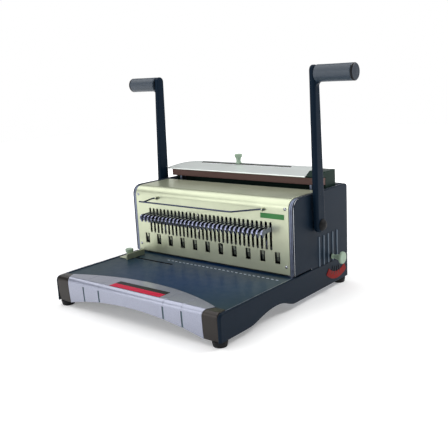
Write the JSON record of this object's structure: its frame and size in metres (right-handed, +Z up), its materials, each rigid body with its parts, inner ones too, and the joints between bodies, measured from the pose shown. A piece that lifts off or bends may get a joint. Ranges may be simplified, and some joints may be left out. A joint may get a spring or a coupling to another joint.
{
  "type": "wire binding machine",
  "caption": "Desktop wire binding machine with a punching lever, a binding lever with hooks, and a wire closer on top of its housing.",
  "frame": {"origin": "on the desk under the middle of the machine", "axes": "+X to the right of the user, +Y to the back, +Z up"},
  "size_m": [0.4856, 0.342, 0.3569],
  "materials": {
    "slate_paint": "satin paint on folded steel sheet",
    "dark_plastic": "fine matt moulding",
    "dark_paint": "satin dark slate paint",
    "silver_plastic": "silver lacquered moulding",
    "bronze_paint": "brown-grey metallic lacquer",
    "grip_plastic": "smooth blue-grey sleeve",
    "cream_paint": "pale grey-green powder coat",
    "grey_steel": "zinc-plated sheet",
    "black_steel": "blackened, polished edges",
    "bright_steel": "bright plated wire and rod",
    "tool_steel": "ground tool steel",
    "brushed_alloy": "brushed sheet",
    "brown_paint": "brown stoved paint",
    "green_black_paint": "dark green stoved paint",
    "pale_plastic": "pale green-white moulding",
    "brass": "turned",
    "rubber": "moulded",
    "red_vinyl": "printed film, bare",
    "black_vinyl": "printed film, bare",
    "green_vinyl": "printed film, bare"
  },
  "bodies": {
    "frame": {"table": "slate_paint", "front_trim": "silver_plastic", "red_strip": "red_vinyl", "black_strip": "black_vinyl", "bottom_plate": "grey_steel", "corner_cap_right": "bronze_paint", "corner_cap_left": "bronze_paint", "side_skirt_right": "dark_plastic", "side_skirt_left": "dark_plastic", "foot_front_right": "rubber", "foot_rear_right": "rubber", "foot_front_left": "rubber", "foot_rear_left": "rubber", "side_frame_right": "grey_steel", "side_frame_left": "grey_steel", "side_cover_right": "dark_plastic", "side_cover_left": "dark_plastic", "front_panel": "cream_paint", "name_plate": "green_vinyl", "rear_cover": "dark_paint", "punch_bush_right": "brass", "bind_bush_right": "brass", "punch_bush_left": "brass", "bind_bush_left": "brass", "punch_spring": "bright_steel", "bind_spring": "bright_steel", "die_block": "tool_steel", "stripper_plate": "grey_steel", "closer_bed": "green_black_paint", "closer_end_right": "green_black_paint", "closer_end_left": "green_black_paint", "closer_cover": "brushed_alloy", "guide_rod_right": "bright_steel", "guide_rod_left": "bright_steel", "margin_dial": "red_vinyl"},
    "punch_arm": {"punch_shaft": "tool_steel", "punch_lever": "dark_paint", "punch_grip": "grip_plastic", "punch_grip_cap": "rubber", "punch_pivot_cap": "rubber"},
    "punch_head": {"punch_bar": "tool_steel", "punch_rack_right": "grey_steel", "punch_rack_left": "grey_steel"},
    "bind_arm": {"bind_shaft": "tool_steel", "bind_lever": "dark_paint", "bind_grip": "grip_plastic", "bind_grip_cap": "rubber", "bind_pivot_cap": "rubber"},
    "hooks": {"hook_carriage": "black_steel"},
    "press_head": {"press_bar": "brown_paint", "press_plate_right": "grey_steel", "press_plate_left": "grey_steel"},
    "bail": {"wire_bail": "bright_steel"},
    "guide": {"edge_guide": "cream_paint"},
    "guide_clamp": {"guide_knob": "pale_plastic"},
    "margin_control": {"margin_shaft": "bright_steel", "margin_knob": "pale_plastic"},
    "paper_stop": {"depth_stop": "bright_steel"},
    "size_stop": {"size_knob": "pale_plastic"},
    "drawer": {"chip_drawer": "dark_plastic"}
  },
  "joints": [
    {"name": "punch_lever_turn", "type": "hinge", "parent": "frame", "child": "punch_arm", "pos_m": [0, 0.07, 0.1185], "axis": [1, 0, 0], "range_deg": [0, 75], "stiffness_Nm_per_rad": 0.8, "springref_deg": -40.11},
    {"name": "punch_head_slide", "type": "slide", "parent": "frame", "child": "punch_head", "axis": [0, 0, -1], "range_m": [0, 0.0118]},
    {"name": "bind_lever_turn", "type": "hinge", "parent": "frame", "child": "bind_arm", "pos_m": [0, 0.09456, 0.112], "axis": [1, 0, 0], "range_deg": [0, 80], "stiffness_Nm_per_rad": 0.8, "springref_deg": -40.11},
    {"name": "hooks_slide", "type": "slide", "parent": "frame", "child": "hooks", "axis": [0, 0, -1], "range_m": [0, 0.0196]},
    {"name": "press_head_slide", "type": "slide", "parent": "frame", "child": "press_head", "axis": [0, 0, -1], "range_m": [0, 0.0105]},
    {"name": "bail_turn", "type": "hinge", "parent": "frame", "child": "bail", "pos_m": [0, 0.0062, 0.1485], "axis": [1, 0, 0], "range_deg": [-80, 30]},
    {"name": "guide_slide", "type": "slide", "parent": "frame", "child": "guide", "axis": [1, 0, 0], "range_m": [-0.005, 0.098]},
    {"name": "guide_knob_turn", "type": "hinge", "parent": "guide", "child": "guide_clamp", "pos_m": [-0.149, -0.027, 0.055], "axis": [0, 0, 1], "range_deg": [0, 180]},
    {"name": "margin_knob_turn", "type": "hinge", "parent": "frame", "child": "margin_control", "pos_m": [0, 0.117, 0.056], "axis": [1, 0, 0], "range_deg": [-45, 50]},
    {"name": "paper_stop_slide", "type": "slide", "parent": "frame", "child": "paper_stop", "axis": [0, 1, 0], "range_m": [-0.0035, 0.0038]},
    {"name": "size_knob_slide", "type": "slide", "parent": "frame", "child": "size_stop", "axis": [1, 0, 0], "range_m": [-0.082, 0.107]},
    {"name": "drawer_slide", "type": "slide", "parent": "frame", "child": "drawer", "axis": [0, 1, 0], "range_m": [0, 0.13]}
  ],
  "couplings": [
    {"joint": "punch_head_slide", "follows": "punch_lever_turn", "m_per_rad": 0.009},
    {"joint": "hooks_slide", "follows": "bind_lever_turn", "m_per_rad": 0.014},
    {"joint": "press_head_slide", "follows": "bind_lever_turn", "m_per_rad": 0.0075},
    {"joint": "margin_knob_turn", "follows": "paper_stop_slide", "rad_per_m": 222.22}
  ]
}
